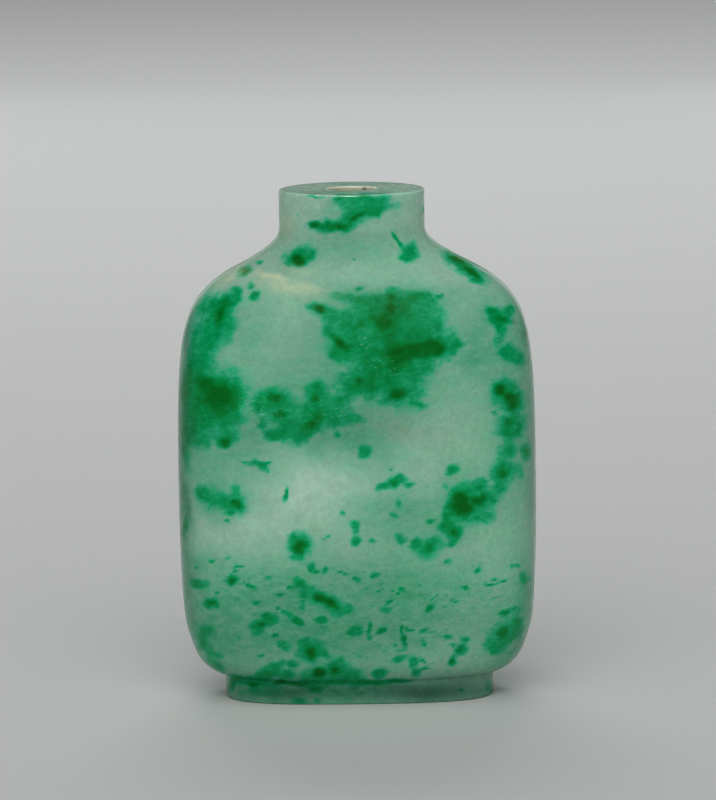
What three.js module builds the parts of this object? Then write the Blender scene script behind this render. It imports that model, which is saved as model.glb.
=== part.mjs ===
// A flattened snuff bottle carved and hollowed from one piece of mottled green jadeite.
// Millimetres, standing on z = 0, broad faces towards -Y and +Y, mouth at the top.
import * as THREE from "three";

// Heights above the table
const HEIGHT = 65;
const NECK_START = 60.05;
const SHOULDER_HEIGHT = 54.34;
const WIDEST_HEIGHT = 29;
const LOW_SIDE_HEIGHT = 8.82;
const FOOT_HEIGHT = 2.9;

// Half widths along X and half depths along Y
const NECK_RADIUS = 9.3;
const SHOULDER_HALF_WIDTH = 16.77;
const SHOULDER_HALF_DEPTH = 11.2;
const BODY_HALF_WIDTH = 22.9;
const BODY_HALF_DEPTH = 13.25;
const LOW_SIDE_HALF_WIDTH = 22.04;
const LOW_SIDE_HALF_DEPTH = 11.6;
const FOOT_HALF_WIDTH = 17.2;
const FOOT_HALF_DEPTH = 10;

// The neck and its straight bore were cut a little to the left of the body's middle.
const NECK_OFFSET = -0.3;
const OFFSET_START = 55.2;
const HOLLOW_OFFSET_START = 44;

// Foot rim and the shallow recess inside it
const FOOT_RIM = 2.5;
const RECESS_DEPTH = 1.2;
const RECESS_COVE = 0.5;

// Small rounded edges
const LIP_ROUND = 0.35;
const MOUTH_ROUND = 0.35;
const FOOT_ROUND = 0.35;

// Mouth, bore and hollow
const MOUTH_RADIUS = 2.95;
const BORE_END = 53;
const WALL = 3.2;
const HOLLOW_HIGH = 37;
const HOLLOW_LOW = 25;
const HOLLOW_FLOOR = 6.2;

// Plan outline: 2 is an ellipse, larger values are squarer at the corners.
const NECK_SQUARENESS = 2;
const BODY_SQUARENESS = 3;
const FOOT_TOP_SQUARENESS = 2.5;
const FOOT_BASE_SQUARENESS = 3.1;
const HOLLOW_SQUARENESS = 2.4;
const BODY_SQUARE_FROM = 14;
const BODY_SQUARE_TO = 44;
const NECK_ROUND_FROM = 59;

// Mesh fineness
const SEGMENTS = 64;
const EDGE_STEPS = 2;

// A point of the outline holds its half width, its half depth and its height.
const at = (halfWidth, halfDepth, height) => new THREE.Vector3(halfWidth, halfDepth, height);

const straight = (from, to) => new THREE.LineCurve3(from, to);

const rounded = (from, corner, to) => new THREE.QuadraticBezierCurve3(from, corner, to);

const swept = (from, leaving, arriving, to) =>
  new THREE.CubicBezierCurve3(from, leaving, arriving, to);

// Underside and foot
const recessHalfWidth = FOOT_HALF_WIDTH - FOOT_RIM;
const recessHalfDepth = FOOT_HALF_DEPTH - FOOT_RIM;
const recessMiddle = at(0, 0, RECESS_DEPTH);
const recessEdge = at(recessHalfWidth - RECESS_COVE, recessHalfDepth - RECESS_COVE, RECESS_DEPTH);
const recessCorner = at(recessHalfWidth, recessHalfDepth, RECESS_DEPTH);
const recessSide = at(recessHalfWidth, recessHalfDepth, RECESS_DEPTH - RECESS_COVE);
const rimInnerTop = at(recessHalfWidth, recessHalfDepth, FOOT_ROUND);
const rimInnerCorner = at(recessHalfWidth, recessHalfDepth, 0);
const rimInner = at(recessHalfWidth + FOOT_ROUND, recessHalfDepth + FOOT_ROUND, 0);
const rimOuter = at(FOOT_HALF_WIDTH - FOOT_ROUND, FOOT_HALF_DEPTH - FOOT_ROUND, 0);
const footCorner = at(FOOT_HALF_WIDTH, FOOT_HALF_DEPTH, 0);
const footSide = at(FOOT_HALF_WIDTH, FOOT_HALF_DEPTH, FOOT_ROUND);
const footTop = at(FOOT_HALF_WIDTH, FOOT_HALF_DEPTH, FOOT_HEIGHT);

// Body and neck
const lowSide = at(LOW_SIDE_HALF_WIDTH, LOW_SIDE_HALF_DEPTH, LOW_SIDE_HEIGHT);
const widest = at(BODY_HALF_WIDTH, BODY_HALF_DEPTH, WIDEST_HEIGHT);
const shoulder = at(SHOULDER_HALF_WIDTH, SHOULDER_HALF_DEPTH, SHOULDER_HEIGHT);
const neckStart = at(NECK_RADIUS, NECK_RADIUS, NECK_START);
const neckTop = at(NECK_RADIUS, NECK_RADIUS, HEIGHT - LIP_ROUND);
const lipCorner = at(NECK_RADIUS, NECK_RADIUS, HEIGHT);
const lipOuter = at(NECK_RADIUS - LIP_ROUND, NECK_RADIUS - LIP_ROUND, HEIGHT);
const lipInner = at(MOUTH_RADIUS + MOUTH_ROUND, MOUTH_RADIUS + MOUTH_ROUND, HEIGHT);
const mouthCorner = at(MOUTH_RADIUS, MOUTH_RADIUS, HEIGHT);
const mouthTop = at(MOUTH_RADIUS, MOUTH_RADIUS, HEIGHT - MOUTH_ROUND);

// Each sweep leaves its lower point and arrives at its upper point along these two handles.
const UNDERCUT_HANDLES = [at(20.92, 10.9, 3.64), at(21.39, 11.3, 6.87)];
const LOWER_SIDE_HANDLES = [at(22.65, 11.88, 10.67), at(BODY_HALF_WIDTH, BODY_HALF_DEPTH, 19.3)];
const UPPER_SIDE_HANDLES = [at(BODY_HALF_WIDTH, BODY_HALF_DEPTH, 47.29), at(22.22, 12.25, 50.68)];
const NECK_SWEEP_HANDLES = [at(15.32, 10.92, 55.32), at(NECK_RADIUS, NECK_RADIUS, 57.76)];

const undercut = swept(footTop, ...UNDERCUT_HANDLES, lowSide);
const lowerSide = swept(lowSide, ...LOWER_SIDE_HANDLES, widest);
const upperSide = swept(widest, ...UPPER_SIDE_HANDLES, shoulder);
const neckSweep = swept(shoulder, ...NECK_SWEEP_HANDLES, neckStart);

// Hollow, from the bore down to the middle of its floor
const hollowHalfWidth = BODY_HALF_WIDTH - WALL;
const hollowHalfDepth = BODY_HALF_DEPTH - WALL;
const boreEnd = at(MOUTH_RADIUS, MOUTH_RADIUS, BORE_END);
const hollowHigh = at(hollowHalfWidth, hollowHalfDepth, HOLLOW_HIGH);
const hollowLow = at(hollowHalfWidth, hollowHalfDepth, HOLLOW_LOW);
const hollowMiddle = at(0, 0, HOLLOW_FLOOR);

const HOLLOW_SHOULDER_HANDLES = [at(12, 6.5, BORE_END), at(hollowHalfWidth, hollowHalfDepth, 50)];
const HOLLOW_BOTTOM_HANDLES = [at(hollowHalfWidth, hollowHalfDepth, 11), at(16.5, 7.6, HOLLOW_FLOOR)];

const hollowShoulder = swept(boreEnd, ...HOLLOW_SHOULDER_HANDLES, hollowHigh);
const hollowBottom = swept(hollowLow, ...HOLLOW_BOTTOM_HANDLES, hollowMiddle);

// Each curve of the section with the number of rings along it
const outside = [
  [straight(recessMiddle, recessEdge), 1],
  [rounded(recessEdge, recessCorner, recessSide), EDGE_STEPS],
  [straight(recessSide, rimInnerTop), 1],
  [rounded(rimInnerTop, rimInnerCorner, rimInner), EDGE_STEPS],
  [straight(rimInner, rimOuter), 1],
  [rounded(rimOuter, footCorner, footSide), EDGE_STEPS],
  [straight(footSide, footTop), 1],
  [undercut, 7],
  [lowerSide, 6],
  [upperSide, 13],
  [neckSweep, 8],
  [straight(neckStart, neckTop), 1],
  [rounded(neckTop, lipCorner, lipOuter), EDGE_STEPS],
  [straight(lipOuter, lipInner), 1],
];

const inside = [
  [rounded(lipInner, mouthCorner, mouthTop), EDGE_STEPS],
  [straight(mouthTop, boreEnd), 2],
  [hollowShoulder, 9],
  [straight(hollowHigh, hollowLow), 1],
  [hollowBottom, 7],
];

const { lerp, smoothstep } = THREE.MathUtils;

function outsideSquareness(height) {
  const foot = lerp(FOOT_BASE_SQUARENESS, FOOT_TOP_SQUARENESS, smoothstep(height, 0, FOOT_HEIGHT));
  const body = lerp(foot, BODY_SQUARENESS, smoothstep(height, FOOT_HEIGHT, BODY_SQUARE_FROM));
  return lerp(body, NECK_SQUARENESS, smoothstep(height, BODY_SQUARE_TO, NECK_ROUND_FROM));
}

function insideSquareness(height) {
  return lerp(HOLLOW_SQUARENESS, NECK_SQUARENESS, smoothstep(height, HOLLOW_HIGH, BORE_END));
}

const outsideMiddle = (height) => NECK_OFFSET * smoothstep(height, OFFSET_START, NECK_START);
const insideMiddle = (height) => NECK_OFFSET * smoothstep(height, HOLLOW_OFFSET_START, BORE_END);

// Stations along the outline, each with the squareness and the middle of its own ring
function stationsOf(curves, squarenessOf, middleOf) {
  const points = curves.flatMap(([curve, steps]) => curve.getSpacedPoints(steps).slice(0, -1));
  return points.map((point) => ({
    point,
    squareness: squarenessOf(point.z),
    middle: middleOf(point.z),
  }));
}

const stations = [
  ...stationsOf(outside, outsideSquareness, outsideMiddle),
  ...stationsOf(inside, insideSquareness, insideMiddle),
  { point: hollowMiddle, squareness: HOLLOW_SQUARENESS, middle: 0 },
];

// The outline is turned about the axis, then each ring is pressed to its own width and depth.
function turnedAndPressed() {
  const profile = stations.map(({ point }) => new THREE.Vector2(point.x, point.z));
  const geometry = new THREE.LatheGeometry(profile, SEGMENTS);
  geometry.rotateX(Math.PI / 2);
  const position = geometry.getAttribute("position");
  for (let index = 0; index < position.count; index += 1) {
    const { point, squareness, middle } = stations[index % stations.length];
    const segment = Math.floor(index / stations.length) % SEGMENTS;
    const turn = (segment / SEGMENTS) * 2 * Math.PI;
    const across = Math.sin(turn);
    const towardsBack = -Math.cos(turn);
    const sum = Math.abs(across) ** squareness + Math.abs(towardsBack) ** squareness;
    const reach = sum ** (-1 / squareness);
    position.setXYZ(
      index,
      middle + point.x * across * reach,
      point.y * towardsBack * reach,
      point.z,
    );
  }
  geometry.computeVertexNormals();
  return geometry;
}

const jadeite = new THREE.MeshStandardMaterial({
  name: "polished mottled green jadeite",
  color: 0x5f9d7d,
  roughness: 0.14,
  metalness: 0,
});

const bottle = new THREE.Mesh(turnedAndPressed(), jadeite);
bottle.name = "bottle";

const part = new THREE.Group();
part.name = "snuff_bottle";
part.add(bottle);

export default part;
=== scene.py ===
"""A flattened snuff bottle of mottled green jadeite, standing on a pale studio table."""

import math
from collections import namedtuple

import bmesh
import bpy
import numpy as np
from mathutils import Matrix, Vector, noise


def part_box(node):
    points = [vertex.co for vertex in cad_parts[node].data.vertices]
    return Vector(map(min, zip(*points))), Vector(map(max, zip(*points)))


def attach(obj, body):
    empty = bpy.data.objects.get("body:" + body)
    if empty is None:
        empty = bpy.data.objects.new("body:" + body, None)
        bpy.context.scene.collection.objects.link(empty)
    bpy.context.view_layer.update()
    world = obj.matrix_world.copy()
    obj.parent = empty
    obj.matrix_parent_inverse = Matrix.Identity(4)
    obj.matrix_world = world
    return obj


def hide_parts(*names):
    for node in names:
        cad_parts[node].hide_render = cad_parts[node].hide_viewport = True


bl_info = {
    "name": "Jadeite Snuff Bottle",
    "version": (1, 0, 0),
    "blender": (4, 5, 0),
    "location": "3D View > Sidebar > Snuff Bottle",
    "description": "Models a flattened snuff bottle of mottled green jadeite on a studio table",
    "category": "Object",
}

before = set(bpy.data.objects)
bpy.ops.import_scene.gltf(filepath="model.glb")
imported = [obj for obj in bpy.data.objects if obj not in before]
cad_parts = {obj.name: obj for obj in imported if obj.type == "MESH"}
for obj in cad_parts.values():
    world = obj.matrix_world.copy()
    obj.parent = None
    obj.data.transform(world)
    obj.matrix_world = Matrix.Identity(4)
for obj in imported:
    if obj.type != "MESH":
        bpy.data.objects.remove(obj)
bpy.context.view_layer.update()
BOTTLE_LOW, BOTTLE_HIGH = (Vector(corner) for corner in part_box("bottle"))
BOTTLE_SIZE = BOTTLE_HIGH - BOTTLE_LOW

# The outline and the markings are written in millimetres and the mesh is in metres.
MM = 0.001

# The camera stands in front of the bottle and looks slightly down on it (millimetres).
EYE = (0.0, -794.4, 142.2)
AIM = (0.22, 0.0, 37.78)
LENS = 281.5
SENSOR = 36.0
CAMERA_ROLL = -0.698
CLIP_NEAR, CLIP_FAR = 0.05, 20

# The table and its lamps (metres). A polish lamp shows only as a highlight.
TABLE_RADIUS = 2.9
TABLE_SIDES = 96
LAMP_AIM = (0, 0, 0.035)
Lamp = namedtuple("Lamp", "name place width height power polish_only")
LAMPS = (
    Lamp("lamp behind", (-0.04, 0.9, 0.8), 0.6, 0.4, "back_power", False),
    Lamp("overhead softbox", (-0.06, -0.1, 0.9), 0.3, 0.12, "overhead_power", True),
    Lamp("left rim panel", (-0.26, 0.93, 0.13), 0.25, 0.22, "rim_power", False),
    Lamp("right rim panel", (0.26, 0.93, 0.13), 0.25, 0.22, "rim_power", False),
)

# The soft light's direction from the bottle, how fast it fades away from there, and the part
# of it that a diffuser keeps out of the polish
DOME_DIRECTION = (-0.05, -0.8, 0.64)
DOME_TIGHTNESS = 11.0
DIFFUSED = 0.6

# The foot's rounded edges, the recess under it and the crease above it
EDGE_ROUND = 0.35
RECESS_COVE = 0.5
RECESS_DEPTH = 1.2
CREASE_ROUND = 0.22
CREASE_REACH = (2, 0.5, 0.3)

# Points of the body's outline: across, deep and up from the half width and half depth of the
# body, on the table or at the height of the lip
WIDEST = (0, 0, 29)
LOW_SIDE = (-0.86, -1.65, 8.82)
SHOULDER = (-6.13, -2.05, -10.66)
NECK_LENGTH = 4.95

# Each sweep leaves its lower point and arrives at its upper one along two handles. They are
# written from the foot's top edge, from the table or from the lip.
UNDERCUT_LEAVES = (3.72, 0.9, 0.74)
UNDERCUT_ARRIVES = (-1.51, -1.95, 6.87)
LOWER_SIDE_LEAVES = (-0.25, -1.37, 10.67)
LOWER_SIDE_ARRIVES = (0, 0, 19.3)
UPPER_SIDE_LEAVES = (0, 0, 47.29)
UPPER_SIDE_ARRIVES = (-0.68, -1, -14.32)
NECK_SWEEP_LEAVES = (-7.58, -2.33, -9.68)
NECK_SWEEP_ARRIVES = 7.24

# The bore and the hollow: heights above the table, and the handles of the hollow's sweeps
BORE_LENGTH = 12
HOLLOW_HIGH = 37
HOLLOW_LOW = 25
HOLLOW_FLOOR = 6.2
HOLLOW_SHOULDER_REACH = (12, 6.5)
HOLLOW_SHOULDER_HEIGHT = 50
HOLLOW_BOTTOM_HEIGHT = 11
HOLLOW_FLOOR_REACH = (16.5, 7.6)

# Points measured along each sweep before its rings are spaced evenly on it
SWEEP_SAMPLES = 400

# Plan outline: 2 is an ellipse, larger values are squarer at the corners. The plan changes
# between the heights given.
NECK_SQUARENESS = 2
BODY_SQUARENESS = 3
FOOT_TOP_SQUARENESS = 2.5
FOOT_BASE_SQUARENESS = 3.1
HOLLOW_SQUARENESS = 2.4
BODY_SQUARE_FROM, BODY_SQUARE_TO = 2.9, 14
NECK_ROUND_FROM, NECK_ROUND_TO = 44, 59
BORE_FROM = 53

# The neck and its straight bore were cut a little to the left of the body's middle.
NECK_OFFSET = -0.3
OFFSET_FROM, OFFSET_TO = 55.2, 60.05
HOLLOW_OFFSET_FROM = 44

# Columns of faces round the bottle, drawn closer together on the broad front face
COLUMNS = 312
FRONT_CROWDING = 0.2
FACE_CROWDING = 0.12
MERGE_DISTANCE = 0.001

# The stone pulls its marks about: how far, over what size (both in millimetres) and the seed
RAGGED_PULLS = ((0.4, 2.4, 1), (0.26, 1, 2), (0.12, 0.5, 5))
DRIFTING_PULLS = ((1.1, 5, 3), (0.3, 1.4, 4))
SEED_STEPS = (7.3, 3.1, 5.7)
AXIS_STEP = 31.7
# The foot is ground separately, so its marks keep to its lines and are pulled less.
CALM_BELOW = 9
LEAST_PULL = 0.25

# The most that the front face's surface may turn towards the back (its normal along y)
FRONT_FACING = 0.05
# How far a mark reaches into the stone, in millimetres and as a share of its half size
MARK_DEPTH = 2
MARK_DEPTH_SHARE = 1.5
# Half of the strength of a mark is left at its drawn edge.
FALL_OFF = math.log(2)
STRONGEST = 2

# The low band of flecks goes on round the back: its height, half height and strength.
BACK_FLECKS = (11, 8, 0.55)
# Residue in the mouth and the hollow: strength at the lip, what depth adds, over what depth
RESIDUE_AT_LIP, RESIDUE_DOWN_BORE, RESIDUE_DEPTH = 0.5, 0.4, 14
RESIDUE_IN_HOLLOW = 0.3
BORE_MARGIN = 0.3

# How far the stone's grain rises to the right, and how much longer than high it is
GRAIN_RISE = math.radians(9)
GRAIN_STRETCH = 2.1

# How strongly each pattern frays the edges of the marks, and how much of that cores take
EDGE_WOBBLE = {"mottling": 0.4, "ragged edges": 0.42, "bedding": 0.3, "crystals": 0.22}
CORE_WOBBLE = 0.8

# Layers of green that a green mark, a dark core, full haze and a fleck add
MARK_LAYERS = 1.0
CORE_LAYERS = 2.6
HAZE_LAYERS = 0.33
FLECK_LAYERS = 0.45

# How much the painted shade and the grey clouds darken, how much haze a green mark hides, how
# much green a pale crystal fleck uncovers and how strongly it shows, and how strongly the cream
# band, partly a vein and partly a painted reflection, shows
PAINTED_SHADE_DARKENING = -0.6
HAZE_HIDDEN = -0.45
FLECK_UNCOVERS = -0.55
FLECK_SHOWS = 0.1
CREAM_SHOWS = 0.85

# Typical values of jadeite, of its roughness where it is polished and where it is left dull,
# and of matt paper
JADEITE_IOR = 1.66
POLISHED_ROUGHNESS = (0.13, 0.24)
DULL_ROUGHNESS = 0.7
PAPER_ROUGHNESS = 0.85

Mark = namedtuple("Mark", "across up half_length half_height strength tilt", defaults=(1, 0))
Spot = namedtuple("Spot", "x y z half_x half_y half_z strength", defaults=(1,))

# Marks on the front face, as seen from the camera on the upright plane through the bottle's
# middle: place and half sizes in millimetres, then strength (full is 1) and tilt in degrees,
# which are left out where the mark is at full strength and level. Most are natural marks of the
# stone; some tables also hold painted shade, painted highlights and a painted reflection.
GREEN_PATCHES = (
    # neck
    (-3.1, 60.1, 2.16, 0.83, 1, 2), (-0.5, 61, 1.9, 0.94, 1, 22), (2, 62.1, 2.16, 0.95, 1, 12),
    (4.9, 62.7, 1.4, 0.57, 0.55, 8), (0.8, 62.9, 2.54, 0.95, 0.9, 8), (-1, 63.5, 1.78, 0.7),
    (1, 63.6, 1.9, 0.7), (3, 63.6, 1.4, 0.57, 0.9), (-5.2, 64, 1.27, 0.25, 0.55),
    (-7.1, 61.8, 0.18, 0.15, 0.7),
    # neck base left and right
    (-7.1, 56.4, 1.65, 1.02, 1, 18), (-5.6, 56.8, 0.76, 0.63), (-8.6, 55.5, 0.51, 0.44, 1, 50),
    (7.1, 56.9, 0.95, 1.08), (6.6, 55.8, 0.83, 0.46), (5.5, 58.2, 0.25, 0.95, 0.95, 38),
    (5.1, 58.7, 0.41, 0.2, 0.9, -40), (-0.2, 55.7, 0.17, 0.15),
    # left shoulder
    (-14.1, 54.5, 0.95, 0.46, 1, 28), (-12.2, 55.7, 0.44, 0.25, 0.75, 20),
    (-12.7, 51.6, 0.57, 0.57), (-13.4, 52.6, 0.38, 0.51, 0.72),
    # left upper patch
    (-17.8, 49.7, 2.41, 1.78, 1, 8), (-18.5, 47, 2.41, 2.03), (-19.5, 44.9, 1.65, 1.52),
    (-16.1, 50.9, 1.14, 0.89, 1, 30), (-15.1, 52, 0.51, 0.63), (-19.9, 42.7, 1.65, 1.78, 0.95),
    (-17, 48.1, 1.4, 1.78),
    # left dark patch
    (-18.2, 39, 3.81, 2.67, 1, -12), (-20, 36.1, 2.54, 2.54), (-21, 39.7, 1.52, 3.05),
    (-17.4, 35.8, 2.41, 2.03), (-15.9, 38.1, 1.27, 1.65), (-17, 33, 1.65, 1.02, 0.95),
    (-20.2, 32.9, 1.78, 1.14, 0.8), (-21.9, 32.9, 0.63, 3.05, 0.85),
    (-15.2, 37.6, 0.63, 0.76, 0.9),
    # middle left
    (-10.7, 38.3, 2.29, 1.21), (-11.8, 37.5, 1.33, 1.02, 1, 20), (-9.4, 36.2, 2.35, 1.4),
    (-5.2, 38.5, 1.4, 1.65), (-5.2, 36.6, 1.4, 1.14), (-6.6, 34.6, 2.67, 1.52, 1, 10),
    (-3.9, 36.3, 1.78, 1.27), (-8.7, 33.9, 1.65, 1.14), (-2.3, 37.2, 1.4, 1.27),
    (-1.5, 35.2, 2.03, 0.89, 0.9, 5), (-7.3, 33, 1.14, 0.95), (-10.6, 33.4, 1.08, 0.63, 0.95),
    (-2.3, 33.3, 0.51, 0.38, 0.75), (-11.9, 34.6, 0.76, 0.63, 0.7),
    # middle patch
    (3.8, 48.1, 4.7, 2.41), (0.6, 46, 3.56, 2.54), (7.5, 46.7, 3.43, 2.67),
    (10.8, 44.7, 2.03, 1.4, 0.9), (5, 42.9, 4.57, 2.29), (2.6, 40.6, 3.56, 2.29, 1, -8),
    (5.9, 39.6, 2.67, 2.41), (-0.4, 39.7, 1.78, 1.4), (8.8, 49.2, 1.78, 1.4),
    (10.3, 47.7, 1.14, 1.9, 0.8), (-1.5, 51.1, 1.65, 0.57, 0.9, -5), (0.5, 52.1, 0.7, 0.41),
    (-2.3, 51.6, 0.51, 0.25, 0.9), (4.7, 51.3, 0.89, 0.83), (10.8, 51.1, 0.38, 0.29, 0.9),
    (9.3, 50.6, 1.14, 0.83, 1, -10), (-4.8, 49.6, 1.21, 0.58, 1, -8),
    (-3.1, 48.8, 1.52, 1.02, 1, -20), (-3.5, 46.9, 0.95, 0.95), (-1.7, 44.9, 1.9, 1.14, 1, -30),
    (-2.4, 43.4, 1.27, 0.63, 0.75, -35), (13.1, 44.8, 0.76, 0.44, 0.75),
    (1.7, 50.7, 2.29, 0.63, 0.9), (7, 50.6, 1.27, 0.76, 0.85), (6.4, 50.1, 3.56, 1.14, 0.8),
    (1.9, 49.8, 2.54, 0.89, 0.85), (7.9, 37, 1.14, 0.63, 0.85, -20),
    # right shoulder and right side
    (14, 55, 2.79, 1.02, 1, -37), (15.7, 53.4, 0.95, 0.76, 1, -20),
    (11.8, 56.7, 0.76, 0.38, 0.9, -40), (18.5, 48.1, 1.4, 1.14), (17.6, 49, 0.83, 0.63),
    (19.7, 49, 0.89, 0.7, 1, 35), (18.4, 46.7, 0.7, 0.76), (18, 45.3, 0.63, 0.63, 0.78),
    (19.6, 43.6, 1.4, 1.08, 0.85, -42), (20.8, 42.9, 0.89, 0.89, 0.8), (18.8, 38.6, 1.52, 1.71),
    (20.2, 37.1, 1.27, 1.52), (19.9, 34.4, 1.65, 1.52), (18.9, 40, 0.2, 0.57),
    (17.8, 35.9, 0.38, 0.38, 0.85), (19.5, 33.3, 1.4, 0.76, 0.9), (19.4, 31.1, 1.21, 1.14, 0.82),
    (18.7, 28.1, 1.46, 1.52), (18.4, 26.3, 0.7, 0.76), (21.7, 30.8, 0.44, 1.27, 0.9),
    (20.6, 28.5, 0.63, 1.14, 0.7),
    # right middle
    (1, 31.2, 0.95, 0.89, 1, 10), (4.6, 27.1, 1.52, 0.66, 1, 12), (3, 26.5, 0.89, 0.48, 1, 15),
    (5.5, 27.6, 1.02, 0.56), (6.8, 26.8, 0.76, 0.38, 0.9), (4.2, 28.9, 0.38, 0.28, 0.78),
    (12.2, 28.6, 0.91, 0.63, 1, 38), (13.9, 23.8, 2.29, 2.03), (13.3, 25.7, 1.4, 1.14, 1, 20),
    (15.6, 26.6, 1.02, 0.83, 1, 35), (16.6, 24.6, 1.65, 1.4), (16.2, 22.7, 1.52, 0.89),
    (11.7, 23, 0.89, 1.27), (11.5, 21.2, 1.08, 0.76), (12.3, 20.5, 1.02, 0.89),
    (12.1, 19.3, 0.76, 0.44, 0.9, 32), (7.4, 19.2, 0.76, 0.71), (9.2, 18.6, 1.4, 1.27, 1, 30),
    (5.4, 19.7, 0.76, 0.57, 0.8), (4.5, 22.8, 0.57, 0.43, 0.88), (5.2, 24.5, 0.51, 0.51, 0.72),
    (9.3, 22.1, 0.63, 0.38, 0.75, 20), (-0.5, 21.7, 0.63, 0.51, 0.8),
    (-0.3, 19.6, 0.76, 0.63, 0.8), (1.8, 19.6, 0.51, 0.51, 0.7),
    (11.5, 16.6, 0.57, 0.32, 0.95, 10), (11.1, 26.5, 0.38, 0.38, 0.72),
    # left middle and lower
    (-13.1, 29.7, 1.02, 0.46, 0.95, -5), (-12.1, 29.3, 0.69, 0.58, 1, 20),
    (-14.4, 30, 0.51, 0.2, 0.65, -10), (-11.4, 28.7, 0.43, 0.18, 0.85, -50),
    (-11.2, 29.9, 0.43, 0.18, 0.75, 20), (-9.2, 25.9, 0.24, 1.04, 1.05, -14),
    (-19.9, 25.9, 0.89, 0.89), (-18.2, 25.2, 1.65, 1.14), (-16.9, 24.7, 1.14, 0.89, 0.95),
    (-15.6, 24.5, 1.4, 1.14), (-15.6, 26.2, 0.51, 0.83), (-16.8, 22.3, 0.28, 0.2),
    (-16.3, 23.2, 0.57, 0.38, 0.95), (-22.3, 21.7, 0.32, 1.14), (-7.3, 19.2, 1.52, 1.33, 1, 15),
    (-8.1, 17.5, 0.95, 0.46), (-8.3, 20.3, 0.38, 0.63, 0.9), (-1.8, 23, 0.38, 0.38, 0.72),
    (-0.4, 21.2, 0.51, 0.63, 0.78), (-4, 20.1, 0.57, 0.28, 0.72),
    # flecked band, row by row
    (-18.8, 17.1, 0.41, 0.23, 0.95), (-16.8, 17.4, 0.48, 0.28, 0.9, 38),
    (-20.9, 16.5, 0.28, 0.19, 0.9), (-19.6, 16.1, 0.3, 0.13), (-15.2, 16.2, 0.63, 0.17, 1.05, -16),
    (-15.7, 15.7, 0.44, 0.25, 0.85, -20), (-5.8, 16.3, 0.51, 0.57), (-5.1, 15.9, 0.38, 0.25),
    (-4.1, 15.9, 0.38, 0.51, 1, -20), (-2.2, 15.4, 0.7, 0.14, 0.95, -8), (-20.5, 14.2, 1.14, 0.48),
    (-16.3, 14.5, 0.89, 0.56, 1, 10), (-11.7, 14.8, 0.57, 0.23, 0.95, 5),
    (-14, 13.8, 0.7, 0.24, 0.95, -36), (-18, 12.9, 0.29, 0.2, 0.95), (-8, 14.6, 0.41, 0.41),
    (-7.5, 14, 0.57, 0.46), (-8.5, 13.6, 0.57, 0.15, 0.95), (-10.1, 12.7, 0.58, 0.36),
    (-0.2, 14.3, 0.38, 0.36), (2.1, 15.2, 0.63, 0.38, 1, 20), (-5.4, 12.3, 2.41, 0.95, 1, -22),
    (-3.1, 11, 1.52, 0.95, 1, -30), (-1.5, 10.7, 0.63, 0.51), (-19, 11.6, 1.02, 0.69, 1, 10),
    (-13.3, 11.8, 0.51, 0.32, 0.9, -20), (-7.1, 11.3, 0.51, 0.51, 0.88),
    (-10.4, 10.8, 0.33, 0.23, 0.95), (-9.1, 10, 0.89, 0.36, 0.95, -30),
    (-8, 9.3, 0.89, 0.33, 1, -28), (-7.7, 9.1, 0.51, 0.33), (20.1, 16, 0.58, 0.28, 1, -5),
    (21.4, 14.6, 0.63, 0.76, 0.9), (17, 13.6, 0.7, 0.23, 1, 14),
    (17.5, 14.5, 0.51, 0.19, 0.95, 26), (18.4, 14.1, 0.51, 0.19, 0.95, 22),
    (15.4, 15.4, 0.41, 0.38, 0.85), (13.8, 13.2, 0.46, 0.25, 0.95, -15),
    (14.2, 12.4, 0.33, 0.15, 0.9), (12.2, 11.8, 0.57, 0.17, 1.05), (9.1, 10.7, 0.61, 0.46, 1, 15),
    (5.8, 13.2, 0.57, 0.25, 0.9, -18), (-0.6, 14.8, 0.38, 0.3), (3.8, 11.7, 0.46, 0.25, 0.95),
    (3.6, 10.6, 0.76, 0.36, 0.9), (8.3, 12, 0.63, 0.11, 1, -36), (9.7, 12, 0.76, 0.11, 1, 40),
    (4.8, 12.8, 0.76, 0.11, 0.9, -15), (2.4, 13.1, 0.89, 0.11, 0.9, 15), (18.9, 9.8, 0.89, 0.48),
    (20, 10.4, 0.63, 0.38, 0.8),
    # lower left
    (-19.7, 8.2, 1.02, 0.63, 0.88), (-20.1, 6.9, 0.76, 1.14, 0.85), (-19.2, 5.3, 0.63, 0.76, 0.85),
    (-18.2, 4.8, 0.63, 0.41, 0.95), (-18.5, 3.7, 1.14, 0.51, 0.95, -36),
    (-13, 8.3, 1.08, 0.89, 1, 30), (-11.4, 9.2, 1.02, 0.76, 1, 10), (-12.2, 9.9, 0.51, 0.38, 0.85),
    (-15.5, 7, 0.43, 0.28, 0.9), (-10.8, 7.3, 0.63, 0.2, 0.9), (-9.7, 6.1, 0.83, 0.43, 1, -15),
    (-12.7, 4.8, 0.63, 0.2, 0.78, 10), (-4.9, 9.3, 0.89, 0.46, 1, -10), (-6.2, 5.4, 1.52, 1.4),
    (-7.2, 6.3, 0.76, 0.57), (-4.4, 4.7, 0.63, 0.44, 0.85, -30), (-8.6, 3.7, 0.76, 0.63, 0.88),
    (-10.8, 3.1, 0.83, 0.76), (-9.8, 4, 0.44, 0.63, 0.85, -35), (-12.1, 2.3, 1.14, 0.7, 0.95),
    (-9.9, 2.2, 1.27, 0.63), (-13.5, 1.4, 2.54, 0.63, 0.95, -8), (-5.6, 2, 1.65, 1.14),
    (-2.9, 2.9, 1.52, 1.08), (-2.4, 4, 0.51, 0.51, 0.85, 30), (-0.9, 1.9, 1.52, 0.89, 0.92),
    (-3.8, 1.2, 3.81, 0.46, 0.95), (0.8, 1.1, 3.3, 0.33, 0.95), (5.1, 1.2, 1.78, 0.28, 0.85, 2),
    (-5.6, 0.4, 0.83, 0.57, 0.98), (-2.1, 4.6, 0.38, 0.15, 0.9, 40),
    # lower middle and right
    (-0.4, 7.7, 0.76, 0.76, 0.95), (1.3, 8.2, 0.36, 0.7), (1.4, 6.9, 0.43, 0.33),
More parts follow.
